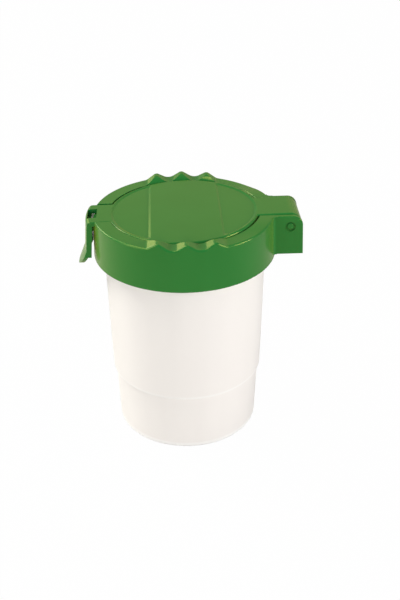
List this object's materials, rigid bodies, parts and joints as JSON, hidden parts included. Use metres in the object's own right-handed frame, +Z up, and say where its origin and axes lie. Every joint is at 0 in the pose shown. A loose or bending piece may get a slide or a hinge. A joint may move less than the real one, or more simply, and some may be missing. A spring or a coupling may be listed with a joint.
{
  "type": "brush washer with lid",
  "caption": "Round brush-washing pot: translucent stepped cup, green twist-off collar with wavy brush rests, and a hinged lid held shut by a hanging catch",
  "frame": {"origin": "centre of the cup's flat underside, on the cup axis", "axes": "+Z up along the cup axis; +X towards the hinge, -X towards the catch; Y along the hinge pin, with the two groups of waves on the +Y and -Y sides"},
  "size_m": [0.0983, 0.0802, 0.1073],
  "materials": {
    "cup_plastic": "smooth translucent",
    "green_plastic": "satin",
    "seal_rubber": "matte"
  },
  "bodies": {
    "cup": {"cup": "cup_plastic"},
    "gasket": {"collar_gasket": "seal_rubber"},
    "collar": {"collar": "green_plastic", "hinge_pin": "green_plastic"},
    "lid": {"lid": "green_plastic", "lid_seal": "seal_rubber"},
    "latch": {"latch": "green_plastic"}
  },
  "joints": [
    {"name": "collar_lift", "type": "slide", "parent": "cup", "child": "gasket", "axis": [0, 0, 1], "range_m": [0, 0.0201]},
    {"name": "collar_turn", "type": "hinge", "parent": "gasket", "child": "collar", "pos_m": [0, 0, 0.095], "axis": [0, 0, 1], "range_deg": [0, 360]},
    {"name": "lid_flip", "type": "hinge", "parent": "collar", "child": "lid", "pos_m": [0.0453, 0, 0.101], "axis": [0, 1, 0], "range_deg": [0, 185]},
    {"name": "latch_flex", "type": "hinge", "parent": "lid", "child": "latch", "pos_m": [-0.03689, 0, 0.10468], "axis": [0, 1, 0], "range_deg": [0, 9], "stiffness_Nm_per_rad": 0.3}
  ],
  "couplings": [
    {"joint": "collar_lift", "follows": "collar_turn", "m_per_rad": 0.0031831}
  ]
}
